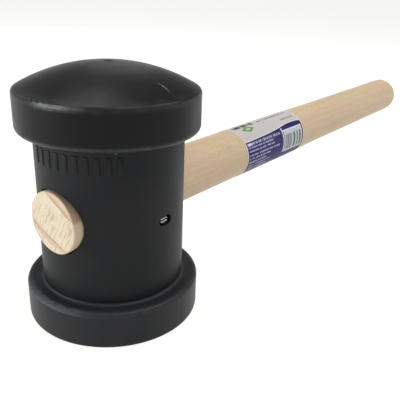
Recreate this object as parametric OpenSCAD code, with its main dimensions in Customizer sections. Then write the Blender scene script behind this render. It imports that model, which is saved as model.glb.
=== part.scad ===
// Dead blow mallet: moulded head with a crowned face and a flat face, two
// sealed shot canisters inside, and a straight round wooden handle that goes
// right through the waist. The flat face lies on Z = 0, the head axis is +Z
// and the grip end of the handle points along +X.

/* [Head] */
// Height from the flat face to the top of the crown
head_h = 144; // [138:0.5:160]
// Diameter of the waist
waist_d = 82; // [80:0.5:88]
// Diameter of the crowned face
crown_d = 99.4; // [96:0.2:110]
// Diameter of the flat face
flat_d = 100.4; // [96:0.2:110]
// Height of the rim of the flat face
flat_rim_h = 21.2; // [18:0.1:24]
// Height at which the crowned head starts above the waist
crown_z = 108.9; // [106:0.1:112]
// Radius of the crown
crown_r = 98; // [90:1:130]
// Edge radius round the striking edge of the flat face
foot_edge_r = 1.2; // [0.5:0.1:2.5]
// Edge radius of the other rims
rim_edge_r = 2.6; // [1.5:0.1:4]
// Edge radius under the crowned head
under_edge_r = 3.4; // [1.5:0.1:5]

/* [Eye and handle] */
// Height of the handle axis above the flat face
eye_z = 65.5; // [64.5:0.5:66.5]
// Diameter of the handle in the head and under the label
handle_d = 34.9; // [30:0.1:36]
// Diameter of the bare grip, turned a little slimmer
grip_d = 34.0; // [29:0.1:36]
// How far the handle reaches in front of the head axis
handle_front = 42.4; // [41.5:0.1:60]
// How far the handle reaches behind the head axis
handle_back = 427; // [300:1:500]
// Rounding of the grip end
grip_end_r = 10; // [3:0.5:14]

/* [Label] */
// Distance of the label's near edge from the head axis
label_start = 116.4; // [60:0.2:160]
// Length of the label along the handle
label_len = 84.4; // [60:0.2:110]
// Thickness of the label
label_t = 0.2; // [0.15:0.05:0.3]

/* [Shot chambers] */
// Outer diameter of a shot canister
can_d = 66.6; // [60:0.2:67]
// Wall thickness of a shot canister
can_wall = 1.6; // [1.2:0.1:2.5]
// Height of a shot canister with its lid on
can_h = 34; // [30:0.5:34]
// Height of the shot when it lies at rest
shot_h = 20; // [14:0.5:22]

/* [Screw] */
// Height of the slot-shaped recess in the waist
recess_d = 5.8; // [5.7:0.1:7.8]
// Length of the recess round the waist
recess_len = 8.8; // [8:0.1:10]
// Diameter of the screw head
screw_head_d = 5.4; // [5:0.1:5.6]
// Shank diameter of the screw
screw_d = 3.4; // [3:0.1:4]
// Length of the screw under its head
screw_len = 32; // [26:1:34]

/* [Hidden] */
$fn = 96;
waist_r = waist_d / 2;
crown_face_r = crown_d / 2;
flat_face_r = flat_d / 2;
crown_cz = head_h - crown_r;          // centre of the crown's sphere
handle_r = handle_d / 2;
grip_r = grip_d / 2;
grip_start = label_start + label_len + 34;  // the full diameter ends 4 past the label, then a 30 long taper
eye_r = handle_r + 0.05;              // driven fit in the middle of the eye
eye_mouth_r = handle_r + 0.7;         // flared mouths of the eye
spigot_r = 37;                        // spigot of each face in the waist
spigot_h = 10;
bore_r = can_d / 2 + 0.3;             // chamber that holds a canister
lower_can_z = 6.6;                    // underside of the lower canister
upper_can_z = eye_z + (eye_z - lower_can_z - can_h);
lower_bore_top = lower_can_z + can_h + 0.2;
upper_bore_bottom = upper_can_z - 0.2;
can_floor = 2;
lid_flange = 1.5;
lid_plug = 2;
lid_gap = 0.05;
shot_r = can_d / 2 - can_wall - 0.6;
shot_mound_r = 160;
screw_seat_y = -(waist_r - 3.6);
screw_head_h = 2.4;
slot_w = 0.8;
slot_depth = 1.2;

// ---- helpers -------------------------------------------------------------

// Half profile from the axis out to r, between z0 and z1, with a round edge
// of radius rb at the bottom and rt at the top.
module rounded_disc_profile(r, z0, z1, rb, rt) {
    difference() {
        translate([0, z0]) square([r, z1 - z0]);
        if (rb > 0) translate([r - rb, z0 - 1]) square([rb + 1, rb + 1]);
        if (rt > 0) translate([r - rt, z1 - rt]) square([rt + 1, rt + 1]);
    }
    if (rb > 0) translate([r - rb, z0 + rb]) intersection() {
        circle(r = rb);
        translate([-0.1, -rb]) square([rb + 1, rb + 0.1]);
    }
    if (rt > 0) translate([r - rt, z1 - rt]) intersection() {
        circle(r = rt);
        translate([-0.1, -0.1]) square([rt + 1, rt + 1]);
    }
}

// A canister: a drawn steel cup with its floor at the bottom.
module canister(z) {
    translate([0, 0, z])
    difference() {
        rotate_extrude()
            rounded_disc_profile(can_d / 2, 0, can_h - lid_flange, 2, 0);
        translate([0, 0, can_floor])
            cylinder(r = can_d / 2 - can_wall, h = can_h);
    }
}

// The lid: a flange on the cup's rim and a plug inside it.
module canister_lid(z) {
    translate([0, 0, z + can_h - lid_flange]) {
        cylinder(r = can_d / 2, h = lid_flange);
        translate([0, 0, -lid_plug])
            cylinder(r = can_d / 2 - can_wall - lid_gap, h = lid_plug + 0.5);
    }
}

// The loose shot, settled on the canister's floor with a low mound on top.
module shot(z) {
    zf = z + can_floor + 0.1;
    intersection() {
        translate([0, 0, zf]) cylinder(r = shot_r, h = shot_h);
        translate([0, 0, zf + shot_h - shot_mound_r]) sphere(r = shot_mound_r, $fn = 200);
    }
}

// ---- nodes ---------------------------------------------------------------

module head_body() {
    color([0.16, 0.16, 0.165])
    difference() {
        translate([0, 0, flat_rim_h]) cylinder(r = waist_r, h = crown_z - flat_rim_h);
        // lower chamber and the seat of the flat face's spigot
        translate([0, 0, flat_rim_h - 1]) cylinder(r = bore_r, h = lower_bore_top - flat_rim_h + 1);
        translate([0, 0, flat_rim_h - 1]) cylinder(r = spigot_r, h = spigot_h + 1.2);
        // upper chamber and the seat of the crowned face's spigot
        translate([0, 0, upper_bore_bottom]) cylinder(r = bore_r, h = crown_z - upper_bore_bottom + 1);
        translate([0, 0, crown_z - spigot_h - 0.2]) cylinder(r = spigot_r, h = spigot_h + 1.2);
        // eye for the handle, with flared mouths
        translate([-waist_r - 1, 0, eye_z]) rotate([0, 90, 0]) cylinder(r = eye_r, h = waist_d + 2);
        translate([-waist_r - 1, 0, eye_z]) rotate([0, 90, 0])
            cylinder(r1 = eye_mouth_r, r2 = eye_r, h = 12);
        translate([waist_r + 1, 0, eye_z]) rotate([0, -90, 0])
            cylinder(r1 = eye_mouth_r, r2 = eye_r, h = 12);
        // recess and clearance hole for the retaining screw
        for (sx = [-1, 1]) translate([sx * (recess_len - recess_d) / 2, screw_seat_y, eye_z])
            rotate([90, 0, 0]) cylinder(d = recess_d, h = 10);
        translate([-(recess_len - recess_d) / 2, screw_seat_y - 10, eye_z - recess_d / 2])
            cube([recess_len - recess_d, 10, recess_d]);
        translate([0, 0, eye_z]) rotate([90, 0, 0]) cylinder(d = screw_d + 0.4, h = waist_r);
    }
}

module crowned_face() {
    fz = crown_cz + sqrt(pow(crown_r - rim_edge_r, 2) - pow(crown_face_r - rim_edge_r, 2));
    a = atan2(fz - crown_cz, crown_face_r - rim_edge_r);
    color([0.17, 0.17, 0.175])
    difference() {
        union() {
            rotate_extrude() {
                difference() {
                    intersection() {
                        translate([0, crown_cz]) circle(r = crown_r, $fn = 360);
                        rounded_disc_profile(crown_face_r, crown_z, head_h + 1, under_edge_r, 0);
                    }
                    // trim the sharp rim back to the two ends of its round edge
                    polygon([[crown_face_r, fz],
                             [crown_face_r + 2, fz],
                             [crown_face_r + 2, crown_cz + (crown_r + 2) * sin(a) + 2],
                             [(crown_r + 2) * cos(a), crown_cz + (crown_r + 2) * sin(a)],
                             [crown_r * cos(a), crown_cz + crown_r * sin(a)]]);
                }
                translate([crown_face_r - rim_edge_r, fz]) circle(r = rim_edge_r);
            }
            translate([0, 0, crown_z - spigot_h]) cylinder(r = spigot_r - 0.1, h = spigot_h + 1);
        }
        translate([0, 0, crown_z - spigot_h - 1])
            cylinder(r = bore_r, h = upper_can_z + can_h + 0.2 - crown_z + spigot_h + 1);
    }
}

module flat_face() {
    color([0.17, 0.17, 0.175])
    difference() {
        union() {
            rotate_extrude()
                rounded_disc_profile(flat_face_r, 0, flat_rim_h, foot_edge_r, rim_edge_r);
            translate([0, 0, flat_rim_h - 1]) cylinder(r = spigot_r - 0.1, h = spigot_h + 1);
        }
        translate([0, 0, lower_can_z - 0.1]) cylinder(r = bore_r, h = 60);
    }
}

module upper_canister() { color([0.62, 0.63, 0.64]) canister(upper_can_z); }
module upper_canister_lid() { color([0.7, 0.7, 0.71]) canister_lid(upper_can_z); }
module upper_shot() { color([0.4, 0.4, 0.42]) shot(upper_can_z); }
module lower_canister() { color([0.62, 0.63, 0.64]) canister(lower_can_z); }
module lower_canister_lid() { color([0.7, 0.7, 0.71]) canister_lid(lower_can_z); }
module lower_shot() { color([0.4, 0.4, 0.42]) shot(lower_can_z); }

module handle() {
    color([0.8, 0.69, 0.55])
    difference() {
        // round bar: broken edge in front, a slight taper behind the label and
        // a rounded grip end
        translate([-handle_front, 0, eye_z]) rotate([0, 90, 0]) rotate_extrude() {
            rounded_disc_profile(grip_r, 0.7, handle_front + handle_back, 0, grip_end_r);
            polygon([[0, 0], [handle_r - 0.7, 0], [handle_r, 0.7],
                     [handle_r, handle_front + grip_start - 30],
                     [grip_r, handle_front + grip_start], [0, handle_front + grip_start]]);
        }
        // pilot hole of the retaining screw
        translate([0, -(handle_r + 1), eye_z]) rotate([-90, 0, 0])
            cylinder(d = screw_d + 0.1, h = screw_len - (-screw_seat_y - handle_r) + 1.5);
    }
}

module handle_label() {
    color([0.82, 0.85, 0.9])
    translate([label_start, 0, eye_z]) rotate([0, 90, 0])
    difference() {
        cylinder(r = handle_r + label_t, h = label_len);
        translate([0, 0, -1]) cylinder(r = handle_r, h = label_len + 2);
    }
}

module retaining_screw() {
    color([0.75, 0.75, 0.76])
    translate([0, screw_seat_y, eye_z]) rotate([90, 0, 0]) {
        difference() {
            cylinder(d = screw_head_d, h = screw_head_h);
            translate([-screw_head_d, -slot_w / 2, screw_head_h - slot_depth])
                cube([2 * screw_head_d, slot_w, slot_depth + 1]);
        }
        translate([0, 0, -(screw_len - 5)]) cylinder(d = screw_d, h = screw_len - 5 + 0.5);
        translate([0, 0, -screw_len]) cylinder(d1 = 0.6, d2 = screw_d, h = 5);
    }
}

head_body();
crowned_face();
flat_face();
upper_canister();
upper_canister_lid();
upper_shot();
lower_canister();
lower_canister_lid();
lower_shot();
handle();
handle_label();
retaining_screw();
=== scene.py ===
import math
import bpy
import bmesh
from mathutils import Matrix, Vector, noise
from mathutils.geometry import delaunay_2d_cdt


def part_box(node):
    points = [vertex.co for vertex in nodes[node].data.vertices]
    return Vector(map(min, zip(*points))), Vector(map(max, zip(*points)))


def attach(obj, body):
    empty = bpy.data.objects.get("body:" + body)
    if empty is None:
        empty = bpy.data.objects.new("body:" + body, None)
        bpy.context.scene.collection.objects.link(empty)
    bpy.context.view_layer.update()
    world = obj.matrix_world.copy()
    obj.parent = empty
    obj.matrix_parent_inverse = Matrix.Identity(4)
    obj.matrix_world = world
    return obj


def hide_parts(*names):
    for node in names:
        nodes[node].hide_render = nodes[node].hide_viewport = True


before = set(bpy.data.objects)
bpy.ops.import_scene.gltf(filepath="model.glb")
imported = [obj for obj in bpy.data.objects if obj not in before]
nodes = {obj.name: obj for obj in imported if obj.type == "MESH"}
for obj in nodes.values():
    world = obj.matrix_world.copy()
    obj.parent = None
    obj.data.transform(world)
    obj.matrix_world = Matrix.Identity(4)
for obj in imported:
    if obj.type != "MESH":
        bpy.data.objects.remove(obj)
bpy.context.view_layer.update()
MM = 0.001


def box_mm(node):
    lo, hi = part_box(node)
    return [v / MM for v in lo], [v / MM for v in hi]


# ---------------------------------------------------------------- sizes, mm
b_lo, b_hi = box_mm("head_body")
c_lo, c_hi = box_mm("crowned_face")
f_lo, f_hi = box_mm("flat_face")
h_lo, h_hi = box_mm("handle")
l_lo, l_hi = box_mm("handle_label")
s_lo, s_hi = box_mm("retaining_screw")
u_lo, u_hi = box_mm("upper_canister_lid")
w_lo, w_hi = box_mm("lower_canister")

WAIST_R = b_hi[0]
WAIST_Z0, WAIST_Z1 = b_lo[2], b_hi[2]
CROWN_R = c_hi[0]
CROWN_TOP = c_hi[2]
CROWN_SPHERE = 98.0
RIM_EDGE, UNDER_EDGE, FOOT_EDGE = 2.6, 3.4, 1.2
FLAT_R = f_hi[0]
FLAT_TOP = WAIST_Z0
EYE_Z = (h_lo[2] + h_hi[2]) / 2
HANDLE_R = (h_hi[2] - h_lo[2]) / 2
GRIP_R = 17.0
X0, X1 = h_lo[0], h_hi[0]
L0, L1 = l_lo[0], l_hi[0]
LABEL_R = (l_hi[2] - l_lo[2]) / 2
SPIGOT_R, SPIGOT_H = 37.0, 10.0
BORE_R = w_hi[0] + 0.3
EYE_R = HANDLE_R + 0.05
EYE_MOUTH_R = HANDLE_R + 0.7
UPPER_BORE_TOP = u_hi[2] + 0.2
UPPER_BORE_BOTTOM = 2 * EYE_Z - (w_hi[2] + 1.5) - 0.2
LOWER_BORE_TOP = w_hi[2] + 1.7
LOWER_BORE_BOTTOM = w_lo[2] - 0.1
RECESS_H, RECESS_L = 2.9, 4.4        # half height and half length of the slot-shaped recess
SEAT_Y = -(WAIST_R - 3.6)


# ---------------------------------------------------------------- mesh help
def build(name, verts, faces, body, node, sharp=32.0, uv=None, attrs=None, mats=()):
    """A mesh piece from points in mm. Edges sharper than `sharp` degrees are split in the shading."""
    me = bpy.data.meshes.new(name)
    me.from_pydata([tuple(c * MM for c in v) for v in verts], [], faces)
    me.validate()
    me.update()
    for key, values in (attrs or {}).items():
        layer = me.attributes.new(key, "FLOAT", "POINT")
        layer.data.foreach_set("value", values)
    if uv:
        layer = me.uv_layers.new(name="print")
        for li, loop in enumerate(me.loops):
            layer.data[li].uv = uv(li, loop.vertex_index, me)
    bm = bmesh.new()
    bm.from_mesh(me)
    bmesh.ops.recalc_face_normals(bm, faces=bm.faces)
    for f in bm.faces:
        f.smooth = True
    for e in bm.edges:
        if len(e.link_faces) == 2 and e.calc_face_angle(0) > math.radians(sharp):
            e.smooth = False
    bm.to_mesh(me)
    bm.free()
    for m in mats:
        me.materials.append(m)
    ob = bpy.data.objects.new(name, me)
    bpy.context.scene.collection.objects.link(ob)
    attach(ob, body)
    if node:
        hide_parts(node)
    return ob


def arc(cx, cy, r, a0, a1, n):
    """Points on a circle from a0 to a1 degrees, both ends in."""
    return [(cx + r * math.cos(math.radians(a0 + (a1 - a0) * i / n)),
             cy + r * math.sin(math.radians(a0 + (a1 - a0) * i / n))) for i in range(n + 1)]


def steps(p, q, n):
    """Points strictly between p and q, then q."""
    return [(p[0] + (q[0] - p[0]) * i / n, p[1] + (q[1] - p[1]) * i / n) for i in range(1, n + 1)]


def revolve(profile, angles, place):
    """Turns a profile of (radius, height) round the axis. place(r, angle, h) gives the point. Ends of radius 0 close in a fan."""
    verts, rings = [], []
    n = len(angles)
    for r, h in profile:
        if r < 1e-6:
            rings.append([len(verts)])
            verts.append(place(0.0, 0.0, h))
        else:
            rings.append(list(range(len(verts), len(verts) + n)))
            verts += [place(r, a, h) for a in angles]
    faces = []
    for a, b in zip(rings, rings[1:]):
        for i in range(n):
            j = (i + 1) % n
            if len(a) == 1:
                faces.append((a[0], b[i], b[j]))
            elif len(b) == 1:
                faces.append((a[i], b[0], a[j]))
            else:
                faces.append((a[i], b[i], b[j], a[j]))
    return verts, faces, rings


def upright(r, a, h):
    return (r * math.cos(a), r * math.sin(a), h)


def soft_bump(d, w):
    """1 at d = 0, 0 from |d| = w on, smooth."""
    t = max(0.0, 1.0 - (d / w) ** 2)
    return t * t


# ---------------------------------------------------------------- node help
class Nodes:
    def __init__(self, mat):
        self.t = mat.node_tree
        self.t.nodes.clear()

    def add(self, kind, **props):
        n = self.t.nodes.new(kind)
        for k, v in props.items():
            setattr(n, k, v)
        return n

    def put(self, socket, value):
        if isinstance(value, bpy.types.NodeSocket):
            self.t.links.new(value, socket)
        else:
            socket.default_value = value

    def math(self, op, a, b=None, c=None, clamp=False):
        n = self.add("ShaderNodeMath", operation=op, use_clamp=clamp)
        for i, v in enumerate((a, b, c)):
            if v is not None:
                self.put(n.inputs[i], v)
        return n.outputs[0]

    def ramp(self, value, lo, hi, out_lo=0.0, out_hi=1.0, smooth=True):
        n = self.add("ShaderNodeMapRange", interpolation_type="SMOOTHSTEP" if smooth else "LINEAR", clamp=True)
        for k, v in (("Value", value), ("From Min", lo), ("From Max", hi), ("To Min", out_lo), ("To Max", out_hi)):
            self.put(n.inputs[k], v)
        return n.outputs["Result"]

    def band(self, value, lo, hi, soft):
        """1 between lo and hi, fading over `soft` outside."""
        a = self.ramp(value, lo - soft, lo, smooth=False)
        b = self.ramp(value, hi, hi + soft, 1.0, 0.0, smooth=False)
        return self.math("MULTIPLY", a, b)

    def mix(self, fac, a, b):
        n = self.add("ShaderNodeMix", data_type="RGBA", blend_type="MIX")
        self.put(n.inputs["Factor"], fac)
        self.put(n.inputs[6], a)
        self.put(n.inputs[7], b)
        return n.outputs[2]

    def noise(self, vec, scale, detail=2.0, rough=0.5, distortion=0.0, out=0):
        n = self.add("ShaderNodeTexNoise")
        self.put(n.inputs["Vector"], vec)
        n.inputs["Scale"].default_value = scale
        n.inputs["Detail"].default_value = detail
        n.inputs["Roughness"].default_value = rough
        n.inputs["Distortion"].default_value = distortion
        return n.outputs[out]

    def scaled(self, vec, s, rot=(0, 0, 0), loc=(0, 0, 0)):
        n = self.add("ShaderNodeMapping")
        self.put(n.inputs["Vector"], vec)
        n.inputs["Scale"].default_value = s
        n.inputs["Rotation"].default_value = rot
        n.inputs["Location"].default_value = loc
        return n.outputs[0]

    def coords(self):
        return self.add("ShaderNodeTexCoord")

    def split(self, vec):
        n = self.add("ShaderNodeSeparateXYZ")
        self.put(n.inputs[0], vec)
        return n.outputs

    def join(self, x, y, z):
        n = self.add("ShaderNodeCombineXYZ")
        for s, v in zip(n.inputs, (x, y, z)):
            self.put(s, v)
        return n.outputs[0]

    def bump(self, height, strength, distance, normal=None):
        n = self.add("ShaderNodeBump")
        n.inputs["Strength"].default_value = strength
        n.inputs["Distance"].default_value = distance
        self.put(n.inputs["Height"], height)
        if normal is not None:
            self.put(n.inputs["Normal"], normal)
        return n.outputs[0]

    def attr(self, name):
        return self.add("ShaderNodeAttribute", attribute_type="GEOMETRY", attribute_name=name).outputs["Fac"]

    def stops(self, value, points, mode="CONSTANT"):
        """A grey ramp: points are (position, grey)."""
        n = self.add("ShaderNodeValToRGB")
        n.color_ramp.interpolation = mode
        e = n.color_ramp.elements
        while len(e) > 1:
            e.remove(e[-1])
        e[0].position = points[0][0]
        e[0].color = (points[0][1],) * 3 + (1,)
        for p, g in points[1:]:
            el = e.new(p)
            el.color = (g,) * 3 + (1,)
        self.put(n.inputs[0], value)
        return n.outputs[0]

    def finish(self, colour, roughness, normal=None, **consts):
        p = self.add("ShaderNodeBsdfPrincipled")
        self.put(p.inputs["Base Color"], colour)
        self.put(p.inputs["Roughness"], roughness)
        if normal is not None:
            self.put(p.inputs["Normal"], normal)
        for k, v in consts.items():
            self.put(p.inputs[k.replace("_", " ")], v)
        o = self.add("ShaderNodeOutputMaterial")
        self.t.links.new(p.outputs[0], o.inputs[0])
        return p


def material(name):
    m = bpy.data.materials.new(name)
    m.use_nodes = True
    return m, Nodes(m)


def lin(r, g, b):
    """Linear colour from screen values 0 to 255."""
    def one(v):
        v /= 255.0
        return v / 12.92 if v <= 0.04045 else ((v + 0.055) / 1.055) ** 2.4
    return (one(r), one(g), one(b), 1.0)


# ---------------------------------------------------------------- materials
def moulded_black(name, seed, painted_light_tone, satin):
    m, k = material(name)
    p = k.coords().outputs["Object"]
    p = k.scaled(p, (1, 1, 1), loc=(seed, seed * 0.7, 0))
    broad = k.noise(p, 28, 3, 0.55)
    mid = k.noise(p, 160, 4, 0.6)
    grain = k.noise(p, 2600, 2, 0.6)
    edge = k.attr("edge")
    rub = k.attr("rub")
    # scuffed, slightly greyer edges
    scuff = k.math("MULTIPLY", edge, k.ramp(mid, 0.44, 0.66))
    # the base black is scaled per moulding: painted light and shade between the waist, the flat face and the crown
    base = k.mix(k.ramp(broad, 0.35, 0.65), tuple(painted_light_tone * c for c in (0.0034, 0.0040, 0.0046)) + (1,), tuple(painted_light_tone * c for c in (0.0051, 0.0052, 0.0059)) + (1,))
    base = k.mix(k.math("MULTIPLY", scuff, 0.35), base, (0.03, 0.03, 0.032, 1))
    # wear turns the rubber a pale grey; the same pale grey is also painted highlight on the struck rims, the parting
    # bead and the waist fillet, and painted reflection on the crown's under edge
    wear_and_highlight_mask = k.math("MULTIPLY", k.attr("bare"), k.ramp(k.noise(p, 420, 3, 0.6), 0.30, 0.62, 0.55, 1.0))
    base = k.mix(wear_and_highlight_mask, base, (0.225, 0.234, 0.244, 1))
    # fine hairline scratches on the striking faces
    q = k.split(p)
    s1 = k.noise(k.join(k.math("MULTIPLY", k.math("ADD", q[0], k.math("MULTIPLY", q[1], 0.6)), 0.03), k.math("SUBTRACT", q[1], k.math("MULTIPLY", q[0], 0.6)), q[2]), 1500, 1, 0.5)
    scratch = k.math("MULTIPLY", k.ramp(s1, 0.70, 0.78), rub)
    base = k.mix(k.math("MULTIPLY", scratch, 0.35), base, (0.03, 0.03, 0.031, 1))
    rough = k.math("ADD", k.math("MULTIPLY", k.math("SUBTRACT", mid, 0.5), 0.12), satin)
    rough = k.math("ADD", rough, k.math("MULTIPLY", k.math("SUBTRACT", broad, 0.5), 0.08))
    rough = k.math("ADD", rough, k.math("MULTIPLY", scuff, 0.10), clamp=True)
    n = k.bump(broad, 0.25, 0.0006)
    n = k.bump(mid, 0.10, 0.00025, n)
    n = k.bump(grain, 0.16, 0.00006, n)
    k.finish(base, rough, n, Specular_IOR_Level=0.16, IOR=1.5)
    return m


def tan(r, g, b):
    """Wood colour: screen values for the look of it under these lights, taken down to its true reflectance."""
    return tuple(q * c for q, c in zip((0.79, 0.815, 0.84), lin(r, g, b)[:3])) + (1.0,)


def beech(name):
    m, k = material(name)
    tc = k.coords()
    p = tc.outputs["Object"]
    x, y, z = k.split(p)
    z = k.math("SUBTRACT", z, EYE_Z * MM)
    ym, zm, xm = (k.math("MULTIPLY", v, 1000.0) for v in (y, z, x))
    # ring coordinate s across the growth rings and t along the rays
    wob = k.noise(k.scaled(p, (0.12, 1, 1)), 40, 2, 0.5)
    s = k.math("ADD", k.math("MULTIPLY", ym, 0.45), k.math("MULTIPLY", zm, -0.89))
    t = k.math("ADD", k.math("MULTIPLY", ym, 0.89), k.math("MULTIPLY", zm, 0.45))
    s = k.math("ADD", s, k.math("MULTIPLY", k.math("MULTIPLY", t, t), 0.004))
    sw = k.math("ADD", s, k.math("MULTIPLY", k.math("SUBTRACT", wob, 0.5), 7.0))
    ring = k.math("SINE", k.math("MULTIPLY", sw, 1.9))
    ring2 = k.math("SINE", k.math("ADD", k.math("MULTIPLY", sw, 0.83), 1.3))
    rings = k.math("ADD", k.math("MULTIPLY", ring, 0.5), k.math("MULTIPLY", ring2, 0.5))
    fibre = k.noise(k.scaled(p, (0.035, 1, 1)), 1100, 3, 0.6)
    fibre2 = k.noise(k.scaled(p, (0.02, 1, 1), loc=(3, 1, 2)), 420, 2, 0.5)
    patch = k.noise(k.scaled(p, (0.42, 1, 1), loc=(1.3, 0.2, 0)), 34, 2, 0.5)
    patch2 = k.noise(k.scaled(p, (0.35, 1, 1), loc=(-2.1, 0.9, 4)), 46, 2, 0.5)
    # ray flecks: short dark dashes along the fibre, where the surface runs along the rays
    fleck = k.noise(k.join(k.math("MULTIPLY", x, 0.16), k.math("MULTIPLY", t, 0.00025), k.math("MULTIPLY", s, 0.001)), 2300, 0.5, 0.4)
    fleck = k.ramp(fleck, 0.66, 0.74)

    side = k.mix(k.ramp(patch, 0.38, 0.62), tan(206, 184, 148), tan(214, 183, 154))
    side = k.mix(k.math("MULTIPLY", k.ramp(patch2, 0.46, 0.62), 0.75), side, tan(216, 191, 148))
    blot = k.noise(k.scaled(p, (0.6, 1, 1), loc=(0.4, 2.2, 1)), 75, 2, 0.5)
    side = k.mix(k.math("MULTIPLY", k.ramp(blot, 0.54, 0.70), 0.45), side, tan(220, 178, 154))
    side = k.mix(k.math("MULTIPLY", k.ramp(blot, 0.44, 0.30), 0.35), side, tan(196, 176, 142))
    side = k.mix(k.math("MULTIPLY", k.ramp(rings, -0.2, 0.9), 0.20), side, tan(190, 158, 122))
    side = k.mix(k.math("MULTIPLY", k.ramp(fibre, 0.52, 0.72), 0.22), side, tan(178, 150, 114))
    side = k.mix(k.math("MULTIPLY", k.ramp(fibre2, 0.35, 0.6), 0.16), side, tan(226, 205, 172))
    side = k.mix(k.math("MULTIPLY", fleck, 0.24), side, tan(150, 115, 80))
    # slanting tool marks just behind the head
    tool = k.noise(k.join(k.math("ADD", xm, k.math("MULTIPLY", k.math("ADD", ym, zm), 0.8)), 0.0, k.math("MULTIPLY", t, 0.05)), 0.45, 2, 0.5)
    tool = k.math("MULTIPLY", k.ramp(tool, 0.56, 0.68), k.band(xm, 62, 104, 12))
    side = k.mix(k.math("MULTIPLY", tool, 0.18), side, tan(196, 158, 128))

    # end grain: cream, pink late-wood bands with a dark line, slanting rays, tiny pores
    sway = k.noise(k.join(k.math("MULTIPLY", t, 0.0004), k.math("MULTIPLY", s, 0.001), 0.7), 130, 2, 0.5)
    tw = k.math("ADD", t, k.math("MULTIPLY", k.math("SUBTRACT", sway, 0.5), 3.2))
    saw = k.math("ABSOLUTE", k.math("SUBTRACT", k.math("FRACT", k.math("MULTIPLY", tw, 1.0 / 3.1)), 0.5))
    line = k.ramp(saw, 0.12, 0.02)
    broken = k.noise(k.join(k.math("MULTIPLY", t, 0.001), k.math("MULTIPLY", s, 0.0004), 0.0), 330, 2.0, 0.6)
    line = k.math("MULTIPLY", line, k.ramp(broken, 0.40, 0.58))
    ray = k.noise(k.join(k.math("MULTIPLY", t, 0.001), k.math("MULTIPLY", s, 0.00012), 0.0), 900, 2.0, 0.55)
    ray_w = k.noise(k.join(k.math("MULTIPLY", t, 0.001), k.math("MULTIPLY", s, 0.0003), 0.5), 190, 1.0, 0.5)
    rays = k.math("MULTIPLY", k.ramp(ray, 0.52, 0.64), k.ramp(ray_w, 0.36, 0.56))
    rays = k.math("MAXIMUM", k.math("MULTIPLY", rays, 0.75), line)
    middle = k.ramp(k.math("SUBTRACT", s, k.math("MULTIPLY", t, 0.55)), -13.0, -7.0)
    rays = k.math("MULTIPLY", rays, k.math("ADD", 0.25, k.math("MULTIPLY", middle, 0.75)))
    pores = k.ramp(k.noise(p, 2400, 1, 0.5), 0.60, 0.72)
    end = k.mix(k.ramp(patch, 0.35, 0.65), tan(246, 234, 202), tan(243, 226, 196))
    late = k.math("ADD", k.band(sw, -14.8, -12.4, 0.7), k.math("MULTIPLY", k.band(sw, 9.2, 11.6, 0.9), 0.75), clamp=True)
    end = k.mix(k.math("MULTIPLY", late, 0.75), end, tan(222, 178, 150))
    seams = k.math("ADD", k.band(sw, -13.0, -12.5, 0.35), k.math("ADD", k.band(sw, 9.0, 9.4, 0.35), k.band(sw, -16.2, -15.9, 0.3)), clamp=True)
    end = k.mix(k.math("MULTIPLY", seams, 0.55), end, tan(176, 124, 98))
    end = k.mix(k.math("MULTIPLY", k.ramp(rings, 0.3, 0.95), 0.16), end, tan(226, 194, 160))
    end = k.mix(k.math("MULTIPLY", rays, 0.70), end, tan(192, 150, 112))
    end = k.mix(k.math("MULTIPLY", pores, 0.34), end, tan(170, 132, 96))
    nx = k.math("ABSOLUTE", k.split(tc.outputs["Normal"])[0])
    is_end = k.ramp(nx, 0.62, 0.93)
    front = k.math("MULTIPLY", is_end, k.math("LESS_THAN", x, 0.0))
    phi = k.math("MULTIPLY", k.math("ARCTAN2", zm, k.math("MULTIPLY", ym, -1.0)), 180.0 / math.pi)
    phi = k.math("ADD", phi, k.math("MULTIPLY", k.math("SUBTRACT", fibre2, 0.5), 6.0))
    # the end standing out in front of the head: darker brown over its upper side, lighter below
    upper_side_dark = k.math("MULTIPLY", k.band(phi, 16.0, 104.0, 5.0), k.math("LESS_THAN", xm, -30.0))
    side = k.mix(k.math("MULTIPLY", upper_side_dark, 0.55), side, tan(132, 88, 52))
    pale = k.math("MULTIPLY", k.band(phi, -70.0, 14.0, 3.0), k.math("LESS_THAN", xm, -30.0))
    side = k.mix(k.math("MULTIPLY", pale, 0.6), side, tan(228, 210, 172))
    back = k.math("MULTIPLY", is_end, k.math("GREATER_THAN", x, 0.0))
    end_back = k.mix(0.4, end, tan(200, 172, 138))
    col = k.mix(front, side, end)
    col = k.mix(back, col, end_back)
    # the rounded rim of the front end is lighter: a painted highlight along that edge
    edge = k.attr("edge")
    col = k.mix(k.math("MULTIPLY", edge, 0.45), col, tan(236, 216, 182))
    rough = k.math("ADD", k.math("MULTIPLY", fibre, 0.12), 0.50)
    rough = k.math("ADD", rough, k.math("MULTIPLY", is_end, 0.16), clamp=True)
    h_side = k.math("ADD", k.math("MULTIPLY", fibre, 0.7), k.math("MULTIPLY", fleck, -0.5))
    h_end = k.math("ADD", k.math("MULTIPLY", rays, -1.0), k.math("MULTIPLY", pores, -0.8))
    height = k.add("ShaderNodeMix", data_type="FLOAT")
    k.put(height.inputs["Factor"], is_end)
    k.put(height.inputs[2], h_side)
    k.put(height.inputs[3], h_end)
    n = k.bump(height.outputs[0], 0.35, 0.00012)
    n = k.bump(tool, 0.2, 0.0002, n)
    k.finish(col, rough, n, Specular_IOR_Level=0.35, IOR=1.45)
    return m


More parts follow.
